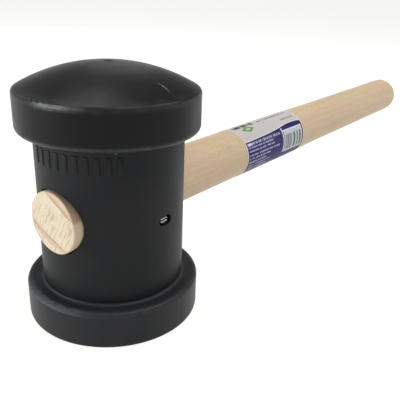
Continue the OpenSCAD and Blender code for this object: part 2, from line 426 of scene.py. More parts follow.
def printed_label(name):
    """White over dark blue, with plain rules, dashes for the small print and a row of bars. No lettering."""
    m, k = material(name)
    tc = k.coords()
    u, v, _ = k.split(tc.outputs["UV"])
    length = L1 - L0
    xm = k.math("ADD", k.math("MULTIPLY", u, length), L0)       # mm from the head axis
    ph = k.math("SUBTRACT", k.math("MULTIPLY", v, 360.0), 180.0)  # degrees, 0 facing -Y, 90 on top

    navy = lin(31, 27, 88)
    white = lin(184, 180, 178)
    lav = lin(176, 174, 206)

    # blue lower field, its top edge a shallow swoosh
    curve = k.add("ShaderNodeFloatCurve")
    pts = [(116.4, 38.4), (128.7, 38.9), (145.2, 40.6), (163.2, 43.9), (178.5, 48.8), (188.0, 49.2), (199.6, 46.4)]
    c = curve.mapping.curves[0]
    c.points[0].location = (0.0, pts[0][1] / 100.0)
    c.points[1].location = (1.0, (pts[-1][1]) / 100.0)
    for px, py in pts[1:-1]:
        c.points.new((px - L0) / length, py / 100.0)
    curve.mapping.update()
    k.put(curve.inputs["Value"], u)
    top = k.math("MULTIPLY", curve.outputs[0], 100.0)
    below = k.math("SUBTRACT", top, ph)                     # degrees under the edge
    blue = k.math("MULTIPLY", k.ramp(below, -0.6, 0.6, smooth=False), k.ramp(ph, -118.5, -117.0, smooth=False))
    rule = k.band(below, -2.4, -0.4, 0.5)
    col = k.mix(blue, white, navy)
    col = k.mix(rule, col, lin(206, 204, 210))
    dark_edge = k.band(below, 0.6, 2.6, 0.6)
    col = k.mix(k.math("MULTIPLY", k.math("MULTIPLY", dark_edge, blue), 0.6), col, lin(12, 10, 44))

    # rows of small print, as plain dashes
    rows = [(31.6, 164.0, 2.9), (23.0, 153.0, 1.8), (14.5, 154.0, 1.8), (5.0, 162.0, 1.8), (-3.5, 148.0, 1.7),
            (-12.5, 142.0, 1.7), (-21.5, 150.0, 1.7), (-30.5, 146.0, 1.7), (-39.5, 158.0, 1.7), (-48.5, 150.0, 1.7),
            (-57.5, 144.0, 1.7), (-66.5, 156.0, 1.7), (-75.5, 140.0, 1.7)]
    mask_pts, end_pts = [(0.0, 0.0)], [(0.0, 0.0)]
    for pc, xe, hw in sorted(rows):
        a, b = (pc - hw + 90) / 180.0, (pc + hw + 90) / 180.0
        mask_pts += [(a, 1.0), (b, 0.0)]
        end_pts += [(a - 0.008, (xe - L0) / length)]
    phn = k.math("DIVIDE", k.math("ADD", ph, 90.0), 180.0)
    row_a = k.stops(phn, mask_pts)
    row_end = k.stops(phn, end_pts)
    cell = k.math("FLOOR", k.math("MULTIPLY", xm, 1.0 / 0.95))
    rowid = k.math("FLOOR", k.math("MULTIPLY", ph, 1.0 / 9.0))
    white_n = k.add("ShaderNodeTexWhiteNoise", noise_dimensions="2D")
    k.put(white_n.inputs["Vector"], k.join(cell, rowid, 0.0))
    gap = k.math("GREATER_THAN", white_n.outputs["Value"], 0.16)
    infill = k.noise(k.join(k.math("MULTIPLY", xm, 1.0), k.math("MULTIPLY", ph, 0.35), 0.0), 1.6, 1, 0.5)
    text = k.math("MULTIPLY", k.math("MULTIPLY", row_a, gap), k.ramp(infill, 0.34, 0.5, 0.35, 1.0))
    text = k.math("MULTIPLY", text, k.math("LESS_THAN", u, row_end))
    text = k.math("MULTIPLY", text, k.math("GREATER_THAN", xm, 118.4))
    col = k.mix(k.math("MULTIPLY", text, 0.80), col, lav)
    bold = k.math("MULTIPLY", k.band(ph, 28.6, 34.4, 0.6), k.band(xm, 118.4, 123.6, 0.3))
    col = k.mix(k.math("MULTIPLY", bold, 0.8), col, lin(206, 206, 222))

    # upright rule, barred panel and the blue band over it
    div = k.math("MULTIPLY", k.band(xm, 167.4, 168.5, 0.25), k.band(ph, -21.0, 41.8, 1.0))
    div2 = k.math("MULTIPLY", k.band(ph, 33.2, 35.2, 0.8), k.band(xm, 168.0, 198.2, 0.3))
    panel = k.math("MULTIPLY", k.band(xm, 169.8, 198.0, 0.3), k.band(ph, -23.0, 33.0, 1.0))
    col = k.mix(panel, col, lin(180, 184, 192))
    bars = [(169.9, 0.0), (171.2, 0.75), (173.0, 0.35), (174.4, 0.80), (176.0, 0.35), (177.2, 0.75), (178.8, 0.35),
            (179.8, 0.70), (181.0, 0.0), (183.0, 0.95), (186.0, 0.05), (188.4, 0.85), (190.8, 0.0), (192.8, 1.0), (195.2, 0.0)]
    bar = k.stops(u, [((bx - L0) / length, g) for bx, g in bars])
    bar = k.math("MULTIPLY", bar, k.band(ph, -17.5, 22.0, 0.8))
    bar = k.math("MULTIPLY", bar, k.band(xm, 170.0, 196.0, 0.2))
    col = k.mix(k.math("MULTIPLY", bar, 0.88), col, lin(56, 62, 58))
    col = k.mix(k.math("MAXIMUM", div, div2), col, lin(208, 208, 222))

    # white field: a dark strip of plain blocks, a plain green shape, a grey rule, small brown ticks
    blk = k.math("FLOOR", k.math("MULTIPLY", xm, 1.0 / 2.3))
    wn2 = k.add("ShaderNodeTexWhiteNoise", noise_dimensions="1D")
    k.put(wn2.inputs["W"], blk)
    strip = k.math("MULTIPLY", k.band(ph, 84.5, 96.5, 0.8), k.band(xm, 118.5, 147.0, 0.4))
    strip = k.math("MULTIPLY", strip, k.ramp(wn2.outputs["Value"], 0.15, 0.4, 0.3, 1.0))
    col = k.mix(k.math("MULTIPLY", strip, 0.95), col, lin(28, 28, 32))
    gx = k.math("SUBTRACT", xm, 132.5)
    gp = k.math("MULTIPLY", k.math("SUBTRACT", ph, 72.0), LABEL_R * math.pi / 180.0)
    oval = k.math("ADD", k.math("ABSOLUTE", k.math("DIVIDE", gx, 7.2)), k.math("ABSOLUTE", k.math("DIVIDE", gp, 3.3)))
    col = k.mix(k.ramp(oval, 1.06, 0.96, smooth=False), col, lin(62, 92, 60))
    col = k.mix(k.ramp(oval, 0.74, 0.62, smooth=False), col, lin(138, 176, 122))
    col = k.mix(k.ramp(oval, 0.34, 0.22, smooth=False), col, lin(176, 200, 160))
    line = k.math("MULTIPLY", k.band(ph, 86.6, 92.4, 0.6), k.band(xm, 152.0, 195.0, 0.4))
    wn3 = k.add("ShaderNodeTexWhiteNoise", noise_dimensions="1D")
    k.put(wn3.inputs["W"], k.math("FLOOR", k.math("MULTIPLY", xm, 1.0 / 1.3)))
    line = k.math("MULTIPLY", line, k.ramp(wn3.outputs["Value"], 0.12, 0.45, 0.15, 1.0))
    col = k.mix(k.math("MULTIPLY", line, 0.85), col, lin(64, 62, 66))
    tick = k.math("MULTIPLY", k.band(ph, 62.5, 69.0, 0.6), k.band(xm, 177.0, 196.0, 0.4))
    tick = k.math("MULTIPLY", tick, k.math("GREATER_THAN", k.math("FRACT", k.math("MULTIPLY", xm, 0.42)), 0.45))
    col = k.mix(k.math("MULTIPLY", tick, 0.75), col, lin(92, 76, 72))

    # uncut white margins and the thin dark line inside the right one
    margin = k.math("MAXIMUM", k.ramp(xm, L0 + 1.0, L0 + 0.7, smooth=False), k.ramp(xm, L1 - 1.1, L1 - 0.8, smooth=False))
    col = k.mix(margin, col, lin(206, 202, 202))
    inner = k.math("MULTIPLY", k.math("ADD", k.band(xm, L1 - 2.7, L1 - 1.2, 0.2), k.band(xm, L0 + 1.0, L0 + 1.9, 0.2)), blue)
    col = k.mix(k.math("MULTIPLY", inner, 0.9), col, lin(20, 15, 32))

    # the paper follows the wood under it
    p = tc.outputs["Object"]
    crease = k.noise(k.scaled(p, (0.5, 1, 1)), 150, 3, 0.55)
    fibre = k.noise(k.scaled(p, (0.2, 1, 1)), 1400, 2, 0.6)
    soil = k.noise(p, 60, 3, 0.6)
    col = k.mix(k.math("MULTIPLY", k.ramp(soil, 0.5, 0.75), 0.10), col, lin(178, 160, 140))
    rough = k.math("ADD", k.math("MULTIPLY", crease, 0.14), 0.40)
    n = k.bump(crease, 0.35, 0.00025)
    n = k.bump(fibre, 0.12, 0.00005, n)
    k.finish(col, rough, n, Specular_IOR_Level=0.16, IOR=1.5)
    return m


def steel(name, tint, rough0, brushed):
    m, k = material(name)
    p = k.coords().outputs["Object"]
    a = k.noise(k.scaled(p, (1, 1, 14) if brushed else (1, 1, 1)), 900 if brushed else 1500, 3, 0.6)
    b = k.noise(p, 90, 4, 0.6)
    base = k.mix(k.ramp(a, 0.35, 0.7), tint, tuple(c * 0.72 for c in tint[:3]) + (1,))
    base = k.mix(k.math("MULTIPLY", k.ramp(b, 0.56, 0.75), 0.35), base, (0.16, 0.12, 0.09, 1))
    rough = k.math("ADD", k.math("MULTIPLY", a, 0.22), rough0)
    n = k.bump(a, 0.25, 0.00008)
    n = k.bump(b, 0.15, 0.0003, n)
    k.finish(base, rough, n, Metallic=1.0)
    return m


def screw_zinc(name):
    m, k = material(name)
    p = k.coords().outputs["Object"]
    x, y, z = (k.math("MULTIPLY", q, 1000.0) for q in k.split(p))
    zz = k.math("ABSOLUTE", k.math("SUBTRACT", z, EYE_Z))
    fine = k.noise(p, 2600, 3, 0.6)
    blot = k.noise(p, 420, 3, 0.6)
    # near black over the head: a painted shade of the recess; bright along the lips of the slot: partly wear, partly a
    # painted highlight; oily blotches on top
    lip_wear_and_highlight = k.math("MULTIPLY", k.band(zz, 0.5, 0.95, 0.25), k.ramp(k.math("ABSOLUTE", x), 2.75, 2.3))
    base = k.mix(lip_wear_and_highlight, (0.03, 0.03, 0.03, 1), (0.42, 0.42, 0.44, 1))
    base = k.mix(k.math("MULTIPLY", k.ramp(blot, 0.5, 0.75), 0.4), base, (0.10, 0.09, 0.08, 1))
    rough = k.math("ADD", k.math("MULTIPLY", fine, 0.2), k.math("ADD", k.math("MULTIPLY", lip_wear_and_highlight, -0.2), 0.42))
    n = k.bump(fine, 0.2, 0.00004)
    k.finish(base, rough, n, Metallic=1.0)
    return m


# one black plastic in three copies: the factors 2.3, 0.9 and 3.4 are painted light and shade, lighter waist and flat
# face, darker crown
M_BODY = moulded_black("head_moulding", 0.0, 2.3, 0.46)
M_CROWN = moulded_black("crown_moulding", 1.7, 0.9, 0.37)
M_FLAT = moulded_black("flat_moulding", 3.1, 3.4, 0.42)
M_WOOD = beech("handle_beech")
M_LABEL = printed_label("label_print")
M_CAN = steel("canister_sheet", (0.56, 0.57, 0.59, 1), 0.28, True)
M_SHOT = steel("cast_shot", (0.34, 0.335, 0.33, 1), 0.42, False)
M_SCREW = screw_zinc("screw_plate")


# ---------------------------------------------------------------- crowned face
def head_angles(fine_at, n=240):
    """Angles round the head, packed closely round the given ones (degrees, half width, step)."""
    out = [i * 360.0 / n for i in range(n)]
    for mid, half, step in fine_at:
        out = [a for a in out if min(abs(a - mid), 360 - abs(a - mid)) > half + 0.3]
        cnt = int(round(2 * half / step))
        out += [(mid - half + i * 2 * half / cnt) % 360 for i in range(cnt + 1)]
    return [math.radians(a) for a in sorted(set(round(a, 6) for a in out))]


def crown_piece():
    fine = [(270.0, 1.6, 0.16), (90.0, 1.6, 0.16), (186.0, 7.0, 0.45)]
    angles = head_angles(fine)
    cz = CROWN_TOP - CROWN_SPHERE
    fr = CROWN_R - RIM_EDGE
    fz = cz + math.sqrt((CROWN_SPHERE - RIM_EDGE) ** 2 - fr ** 2)
    tip = math.degrees(math.atan2(fz - cz, fr))
    z0 = WAIST_Z1
    prof = [(0.0, UPPER_BORE_TOP)]
    prof += steps((0.0, UPPER_BORE_TOP), (BORE_R, UPPER_BORE_TOP), 4)
    prof += steps((BORE_R, UPPER_BORE_TOP), (BORE_R, z0 - SPIGOT_H), 4)
    prof += [(SPIGOT_R - 0.1, z0 - SPIGOT_H), (SPIGOT_R - 0.1, z0)]
    prof += steps((SPIGOT_R - 0.1, z0), (CROWN_R - UNDER_EDGE, z0), 5)
    prof += arc(CROWN_R - UNDER_EDGE, z0 + UNDER_EDGE, UNDER_EDGE, -90, 0, 10)[1:]
    prof += steps((CROWN_R, z0 + UNDER_EDGE), (CROWN_R, fz), 10)
    prof += arc(fr, fz, RIM_EDGE, 0, tip, 9)[1:]
    dome0 = math.acos(min(1.0, CROWN_SPHERE * math.cos(math.radians(tip)) / CROWN_SPHERE))
    n = 44
    for i in range(1, n + 1):
        a = dome0 + (math.pi / 2 - dome0) * i / n
        prof.append((CROWN_SPHERE * math.cos(a) if i < n else 0.0, cz + CROWN_SPHERE * math.sin(a)))
    # closer rings round the gate mark
    keep = [q for q in prof if not (q[0] < 4.6 and q[1] > CROWN_TOP - 1)]
    for r in (4.5, 3.8, 3.2, 2.7, 2.3, 1.9, 1.5, 1.1, 0.7, 0.35, 0.0):
        keep.append((r, cz + math.sqrt(CROWN_SPHERE ** 2 - r * r)))
    prof = keep
    verts, faces, rings = revolve(prof, angles, upright)
    edge, rub, bare = [], [], []
    out = []
    for vx, vy, vz in verts:
        r = math.hypot(vx, vy)
        th = math.degrees(math.atan2(vy, vx)) % 360
        outer = vz > z0 - 0.01 and r > WAIST_R + 0.5
        dome = vz >= fz + 0.2 and abs(math.hypot(r, vz - cz) - CROWN_SPHERE) < 0.6
        rim = vz > fz - 0.6 and r > fr - 1.2
        nrm = Vector((vx, vy, 0)).normalized() if r > 0 else Vector((0, 0, 1))
        if dome:
            nrm = Vector((vx, vy, vz - cz)).normalized()
        elif rim:
            q = Vector((r - fr, 0, vz - fz))
            q = q.normalized() if q.length > 1e-6 else Vector((1, 0, 0))
            nrm = Vector((q.x * math.cos(math.radians(th)), q.x * math.sin(math.radians(th)), q.z))
        d = 0.0
        if dome or rim or (outer and vz > z0 + UNDER_EDGE):
            d += 0.055 * noise.noise(Vector((vx, vy, vz)) * 0.045)      # slight sink and swell of the moulding
        if dome or rim:
            # parting line of the mould: a low bead in the plane x = 0
            side = 1.0 if vy < 0 else 0.55
            along = 0.30 * soft_bump(r - 39.4, 4.6) + 0.10 * (1.0 if r > 40 else soft_bump(r - 40, 14)) if vy < 0 else 0.09 * (1.0 if r > 30 else 0.0)
            d += side * along * soft_bump(vx, 0.55)
        if dome and r < 4.6:
            # gate mark: a shallow dish with a torn nib
            d += -0.45 * soft_bump(r, 2.9) + 0.16 * soft_bump(r - 3.1, 1.1)
            d += 0.42 * soft_bump(math.hypot(vx - 0.5, vy + 0.3), 1.1)
        if rim:
            # small nicks on the striking rim
            for ang, dep, wid, zz in ((181.2, 0.42, 1.0, 1.3), (183.4, 0.30, 0.8, 0.4), (186.0, 0.46, 1.1, 1.6), (188.6, 0.30, 0.8, 0.6), (191.2, 0.34, 0.9, 1.4)):
                da = (th - ang) * math.pi / 180 * CROWN_R
                d -= dep * soft_bump(da, wid) * soft_bump(vz - fz - zz, 1.3)
        out.append((vx + nrm.x * d, vy + nrm.y * d, vz + nrm.z * d))
        edge.append(1.0 if rim and not dome else (0.5 * soft_bump(vz - z0 - 1.0, 3.0) if outer and vz < z0 + UNDER_EDGE else (max(0.0, 1 - (fr + 1.4 - r) / 5.0) if dome and r < fr + 1.4 else 0.0)))
        rub.append(0.55 if dome else (0.25 if rim else 0.0))
        w = 0.0
        if rim or (dome and r > fr - 2.0):
            # the struck side of the rim is pale grey, the rest only a little: partly wear round the nicks, partly a
            # painted highlight
            away = abs((th - 190.5 + 180) % 360 - 180)
            w = 0.08 + 0.76 * soft_bump(away, 27.0 if th > 190.5 else 12.0)
            w *= 1.0 if rim else max(0.0, 1 - (fr - r) / 0.9)
            w *= min(1.0, max(0.0, (vz - fz + 0.5) / 1.0))
            w *= min(1.0, max(0.06, (50.0 - math.degrees(math.atan2(vz - fz, max(1e-6, r - fr)))) / 16.0))
        elif outer and vz < z0 + UNDER_EDGE:
            # pale line on the rounded under edge, stronger from 120 to 250 degrees: a painted reflection
            w = 0.14 * soft_bump(vz - z0 - 1.6, 2.2) * (1.0 if 120 < th < 250 else 0.5)
        if (dome or rim) and vy < 0 and 34.0 < r:
            # pale line along the parting bead on the -Y side only: a painted highlight
            w = max(w, 0.85 * soft_bump(r - 38.6, 4.8) * soft_bump(vx, 0.42))
        bare.append(w)
    return build("crowned_striking_face", out, faces, "mallet", "crowned_face",
                 sharp=40, attrs={"edge": edge, "rub": rub, "bare": bare}, mats=[M_CROWN])


# ---------------------------------------------------------------- flat face
def flat_piece():
    angles = head_angles([(270.0, 1.2, 0.2), (90.0, 1.2, 0.2)])
    top = FLAT_TOP
    bead = 1.0
    prof = [(0.0, 0.5), (0.9, 0.45), (1.6, 0.0), (2.4, 0.0)]
    prof += steps((2.4, 0.0), (37.2, 0.0), 14)
    prof += [(37.4, 0.12), (37.8, 0.42), (38.4, 0.42), (38.8, 0.12), (39.0, 0.0)]
    prof += steps((39.0, 0.0), (FLAT_R - FOOT_EDGE, 0.0), 4)
    prof += arc(FLAT_R - FOOT_EDGE, FOOT_EDGE, FOOT_EDGE, -90, 0, 6)[1:]
    prof += steps((FLAT_R, FOOT_EDGE), (FLAT_R, top - RIM_EDGE), 10)
    prof += arc(FLAT_R - RIM_EDGE, top - RIM_EDGE, RIM_EDGE, 0, 90, 10)[1:]
    prof += steps((FLAT_R - RIM_EDGE, top), (WAIST_R + 0.04 + bead, top), 4)
    prof += arc(WAIST_R + 0.04 + bead, top + bead, bead, 270, 180, 6)[1:]   # fillet against the waist
    prof += [(WAIST_R + 0.02, top + bead + 0.05), (WAIST_R + 0.02, top), (SPIGOT_R - 0.1, top), (SPIGOT_R - 0.1, top + SPIGOT_H)]
    prof += [(BORE_R, top + SPIGOT_H)]
    prof += steps((BORE_R, top + SPIGOT_H), (BORE_R, LOWER_BORE_BOTTOM), 4)
    prof += steps((BORE_R, LOWER_BORE_BOTTOM), (0.0, LOWER_BORE_BOTTOM), 4)
    verts, faces, rings = revolve(prof, angles, upright)
    out, edge, rub, bare = [], [], [], []
    for vx, vy, vz in verts:
        r = math.hypot(vx, vy)
        th = math.degrees(math.atan2(vy, vx)) % 360
        d = 0.0
        wall = r > FLAT_R - 0.3 and FOOT_EDGE < vz < top - RIM_EDGE + 0.5
        if wall or (r > FLAT_R - RIM_EDGE - 0.1 and vz > top - RIM_EDGE):
            d += 0.05 * noise.noise(Vector((vx, vy, vz)) * 0.05 + Vector((9, 2, 5)))
            if vy < 0 or vy > 0:
                d += 0.07 * soft_bump(vx, 0.5) * (1.0 if abs(vx) < 0.6 else 0.0)
        if r > 1e-6:
            vx, vy = vx + vx / r * d, vy + vy / r * d
        out.append((vx, vy, vz))
        e = 0.0
        if r > FLAT_R - RIM_EDGE and vz > top - RIM_EDGE:
            e = 1.0
        elif r > FLAT_R - FOOT_EDGE - 0.5 and vz < FOOT_EDGE + 0.4:
            e = 1.0
        edge.append(e)
        rub.append(0.9 if vz < 0.05 else 0.1)
        w = 0.0
        # pale rim, strongest round 176 degrees: a little wear all round and a painted highlight on that side
        if r > FLAT_R - RIM_EDGE - 0.3 and vz > top - RIM_EDGE:
            away = abs((th - 176.0 + 180) % 360 - 180)
            w = 0.05 + 0.20 * soft_bump(away, 44.0)
        if vz < 0.6 and r < FLAT_R - 0.2:
            w = 0.16 + 0.22 * max(0.0, noise.noise(Vector((vx, vy, 4.0)) * 0.06)) + (0.25 if r > FLAT_R - FOOT_EDGE - 1.0 else 0.0)
        # pale line on the fillet against the waist: a painted highlight
        if abs(r - WAIST_R - bead) < 1.3 and vz > top - 0.2:
            w = max(w, 0.10)
        bare.append(w)
    return build("flat_striking_face", out, faces, "mallet", "flat_face",
                 sharp=40, attrs={"edge": edge, "rub": rub, "bare": bare}, mats=[M_FLAT])


# ---------------------------------------------------------------- head body
def body_piece():
    """The waist: a cylinder with the eye through it along X and the screw's recess on the -Y side, and the
    two chambers inside. The outer skin is laid out flat, as arc length by height, and rolled up."""
    R, z0, z1 = WAIST_R, WAIST_Z0, WAIST_Z1
    N = 180
    seam = math.radians(45.0)
    col = 2 * math.pi / N
    verts, faces, normals = [], [], {}

    def on_wall(theta, z):
        return (R * math.cos(theta), R * math.sin(theta), z)

    # holes: centre angle, radius at the wall, direction of the hole's axis outwards
    def mouth(kind, rho, t, depth):
        """A point at distance rho from the hole's axis, `depth` under the wall."""
        if kind == "front":
            y, z = rho * math.cos(t), EYE_Z + rho * math.sin(t)
            return (-(math.sqrt(R * R - y * y) - depth), y, z)
        if kind == "rear":
            y, z = -rho * math.cos(t), EYE_Z + rho * math.sin(t)
            return (math.sqrt(R * R - y * y) - depth, y, z)
        core = math.copysign(RECESS_L - RECESS_H, math.cos(t)) * min(1.0, abs(math.cos(t)) / 0.22)
        x, z = -(rho * math.cos(t) + core), EYE_Z + rho * math.sin(t)
        return (x, -(math.sqrt(R * R - x * x) - depth), z)

    plans = {
        "front": dict(n=96, r=EYE_MOUTH_R, f=0.5, rings=(1.3, 2.5)),
        "rear": dict(n=96, r=EYE_MOUTH_R, f=0.5, rings=(1.3, 2.5)),
        "screw": dict(n=56, r=RECESS_H, f=0.4, rings=(0.9, 1.6)),
    }
    outer_loops = {}
    bore_loops = {}
    for kind, q in plans.items():
        n, r, f = q["n"], q["r"], q["f"]
        loops = []
        # from inside outwards: round-over, then two rings lying on the wall
        for a in (0, 18, 36, 54, 72, 90):
            rho = r + f * (1 - math.cos(math.radians(a)))
            dep = f * (1 - math.sin(math.radians(a)))
            loops.append([mouth(kind, rho, 2 * math.pi * i / n, dep) for i in range(n)])
        for extra in q["rings"]:
            loops.append([mouth(kind, r + f + extra, 2 * math.pi * i / n, 0.0) for i in range(n)])
        idx = []
        for lp in loops:
            idx.append(list(range(len(verts), len(verts) + n)))
            verts.extend(lp)
        for a, b in zip(idx, idx[1:]):
            for i in range(n):
                j = (i + 1) % n
                faces.append((a[i], b[i], b[j], a[j]))
        for li in idx[5:]:
            for vi in li:
                normals[vi] = 1
        outer_loops[kind] = idx[-1]
        bore_loops[kind] = idx[0]

    # the flat layout of the rest of the skin
    def flat(v):
        th = math.atan2(v[1], v[0])
        while th < seam:
            th += 2 * math.pi
        while th >= seam + 2 * math.pi:
            th -= 2 * math.pi
        return ((th - seam) * R, v[2])

    pts, src, edges = [], [], []
    n_rows = 28
    zs = [z0 + (z1 - z0) * i / n_rows for i in range(n_rows + 1)]
    holes2d = {}
    for kind, ids in outer_loops.items():
        start = len(pts)
        poly = []
        for vi in ids:
            pts.append(flat(verts[vi]))
            poly.append(pts[-1])
            src.append(("v", vi))
        holes2d[kind] = poly
        for i in range(len(ids)):
            edges.append((start + i, start + (i + 1) % len(ids)))

    def inside(poly, x, y):
        hit = False
        for (ax, ay), (bx, by) in zip(poly, poly[1:] + poly[:1]):
            if (ay > y) != (by > y) and x < (bx - ax) * (y - ay) / (by - ay) + ax:
                hit = not hit
        return hit

    def near(poly, x, y, d):
        return min((px - x) ** 2 + (py - y) ** 2 for px, py in poly) < d * d

    width = 2 * math.pi * R
    for c in range(N + 1):
        for rr, z in enumerate(zs):
            x = c * col * R
            edge_pt = c in (0, N) or rr in (0, n_rows)
            if not edge_pt and any(inside(p, x, z) or near(p, x, z, 1.05) for p in holes2d.values()):
                continue
            pts.append((x, z))
            src.append(("g", c % N, rr))
    # border edges keep the layout a full rectangle
    corner = {s: i for i, s in enumerate(src) if s[0] == "g"}
    res_v, _, res_f, orig_v, _, _ = delaunay_2d_cdt([Vector(p) for p in pts], edges, [], 0, 1e-6)
    grid_ids = {}
    remap = []
    for i, v2 in enumerate(res_v):
        o = orig_v[i][0] if orig_v[i] else None
        if o is None:
            remap.append(None)
            continue
        s = src[o]
        if s[0] == "v":
            remap.append(s[1])
        else:
            key = (s[1], s[2])
            if key not in grid_ids:
                grid_ids[key] = len(verts)
                verts.append(on_wall(seam + s[1] * col, zs[s[2]]))
                normals[grid_ids[key]] = 1
            remap.append(grid_ids[key])
    for f in res_f:
        cx = sum(res_v[i].x for i in f) / 3
        cy = sum(res_v[i].y for i in f) / 3
        if any(inside(p, cx, cy) for p in holes2d.values()):
            continue
        ids = [remap[i] for i in f]
        if None in ids or len(set(ids)) < 3:
            continue
        faces.append(tuple(ids))

    # the eye's wall from mouth to mouth
    n = 96
    def eye_ring(x, r):
        ids = list(range(len(verts), len(verts) + n))
        verts.extend([(x, r * math.cos(2 * math.pi * i / n), EYE_Z + r * math.sin(2 * math.pi * i / n)) for i in range(n)])
        return ids
    front = bore_loops["front"]
    prev = front
    for x, r in ((-31.0, EYE_MOUTH_R - 0.1), (-28.0, EYE_R), (-15.0, EYE_R), (0.0, EYE_R), (15.0, EYE_R), (28.0, EYE_R), (31.0, EYE_MOUTH_R - 0.1)):
        cur = eye_ring(x, r)
        for i in range(n):
            j = (i + 1) % n
            faces.append((prev[i], prev[j], cur[j], cur[i]))
        prev = cur
    rear = bore_loops["rear"]
    # the rear mouth runs the other way round in y
    order = [rear[(n // 2 - i) % n] for i in range(n)]
    for i in range(n):
        j = (i + 1) % n
        faces.append((prev[i], prev[j], order[j], order[i]))

    # the recess: wall and seat
    n = 56
    def slot_ring(rho, y):
        ids = list(range(len(verts), len(verts) + n))
        for i in range(n):
            t = 2 * math.pi * i / n
            core = math.copysign(RECESS_L - RECESS_H, math.cos(t)) * min(1.0, abs(math.cos(t)) / 0.22)
            verts.append((-(rho * math.cos(t) + core), y, EYE_Z + rho * math.sin(t)))
        return ids
    seat = slot_ring(RECESS_H, SEAT_Y)
    seat2 = slot_ring(1.4, SEAT_Y)
    hub = len(verts)
    verts.append((0.0, SEAT_Y, EYE_Z))
    a = bore_loops["screw"]
    for i in range(n):
        j = (i + 1) % n
        faces.append((a[i], a[j], seat[j], seat[i]))
        faces.append((seat[i], seat[j], seat2[j], seat2[i]))
        faces.append((seat2[i], seat2[j], hub))

    # ends of the waist, seats of the spigots and the two chambers
    def inner(row, path):
        prev = [grid_ids[(c, row)] for c in range(N)]
        for r, z in path:
            if r < 1e-6:
                ids = [len(verts)]
                verts.append((0.0, 0.0, z))
            else:
                ids = list(range(len(verts), len(verts) + N))
                verts.extend([(r * math.cos(seam + c * col), r * math.sin(seam + c * col), z) for c in range(N)])
            for i in range(N):
                j = (i + 1) % N
                if len(ids) == 1:
                    faces.append((prev[i], prev[j], ids[0]))
                else:
                    faces.append((prev[i], prev[j], ids[j], ids[i]))
            prev = ids
    inner(n_rows, [(SPIGOT_R, z1), (SPIGOT_R, z1 - SPIGOT_H - 0.2), (BORE_R, z1 - SPIGOT_H - 0.2), (BORE_R, UPPER_BORE_BOTTOM), (15.0, UPPER_BORE_BOTTOM), (0.0, UPPER_BORE_BOTTOM)])
    inner(0, [(SPIGOT_R, z0), (SPIGOT_R, z0 + SPIGOT_H + 0.2), (BORE_R, z0 + SPIGOT_H + 0.2), (BORE_R, LOWER_BORE_TOP), (15.0, LOWER_BORE_TOP), (0.0, LOWER_BORE_TOP)])

    # a small moulded nib under the crowned head
    mid = math.radians(-129.4)
    def nib(dx, z, out):
        th = mid + dx / R
        return ((R + out) * math.cos(th), (R + out) * math.sin(th), z)
    k0 = len(verts)
    verts.extend([nib(-2.2, z1 - 0.02, -0.3), nib(2.2, z1 - 0.02, -0.3), nib(0.5, z1 - 2.9, -0.3), nib(-0.5, z1 - 2.9, -0.3),
                  nib(-1.7, z1 - 0.02, 0.75), nib(1.7, z1 - 0.02, 0.75), nib(0.35, z1 - 2.3, 0.5), nib(-0.35, z1 - 2.3, 0.5)])
    for f in ((0, 1, 2, 3), (4, 7, 6, 5), (0, 4, 5, 1), (1, 5, 6, 2), (2, 6, 7, 3), (3, 7, 4, 0)):
        faces.append(tuple(k0 + i for i in f))

    nib_ids = set(range(k0, k0 + 8))

    # a row of plain raised bars moulded under the crowned head
    for b in range(10):
        for side in (math.radians(163.0), math.radians(-17.0)):
            th0 = side + b * 5.6 / R
            hw, zt, zb = 1.15, z1 - 4.6, z1 - 13.2
            def bar_pt(dx, z, out):
                return ((R + out) * math.cos(th0 + dx / R), (R + out) * math.sin(th0 + dx / R), z)
            k1 = len(verts)
            for off, grow in ((-0.3, 0.28), (0.0, 0.28), (0.34, 0.10), (0.42, -0.12)):
                verts.extend([bar_pt(-hw - grow, zt + grow, off), bar_pt(0, zt + grow, off), bar_pt(hw + grow, zt + grow, off),
                              bar_pt(hw + grow, zb - grow, off), bar_pt(0, zb - grow, off), bar_pt(-hw - grow, zb - grow, off)])
            for lv in range(3):
                for i in range(6):
                    j = (i + 1) % 6
                    faces.append((k1 + 6 * lv + i, k1 + 6 * lv + j, k1 + 6 * lv + 6 + j, k1 + 6 * lv + 6 + i))
            for lv in (0, 3):
                faces.append(tuple(k1 + 6 * lv + i for i in (0, 1, 4, 5)))
                faces.append(tuple(k1 + 6 * lv + i for i in (1, 2, 3, 4)))

    edge, bare = [], []
    for i, (vx, vy, vz) in enumerate(verts):
        e = 0.0
        r = math.hypot(vy, vz - EYE_Z)
        if abs(r - EYE_MOUTH_R) < 1.3 and abs(vx) > 30:
            e = 0.8
        if math.hypot(max(0.0, abs(vx) - RECESS_L + RECESS_H), vz - EYE_Z) < RECESS_H + 0.7 and vy < -30:
            e = 0.4
        edge.append(e)
        bare.append(0.25 if i in nib_ids else 0.0)
    ob = build("head_waist", verts, faces, "mallet", "head_body",
               sharp=40, attrs={"edge": edge, "rub": [0.0] * len(verts), "bare": bare}, mats=[M_BODY])
    # true cylinder normals on the outer skin
    me = ob.data
    vn = [Vector(v.normal) for v in me.vertices]
    loops = []
    cn = me.corner_normals
    for poly in me.polygons:
        skin = all(normals.get(v) for v in poly.vertices)
        for li in poly.loop_indices:
            vi = me.loops[li].vertex_index
            if skin:
                c = me.vertices[vi].co
                loops.append(Vector((c.x, c.y, 0)).normalized())
            else:
                loops.append(Vector(cn[li].vector))
    me.normals_split_custom_set(loops)
    return ob


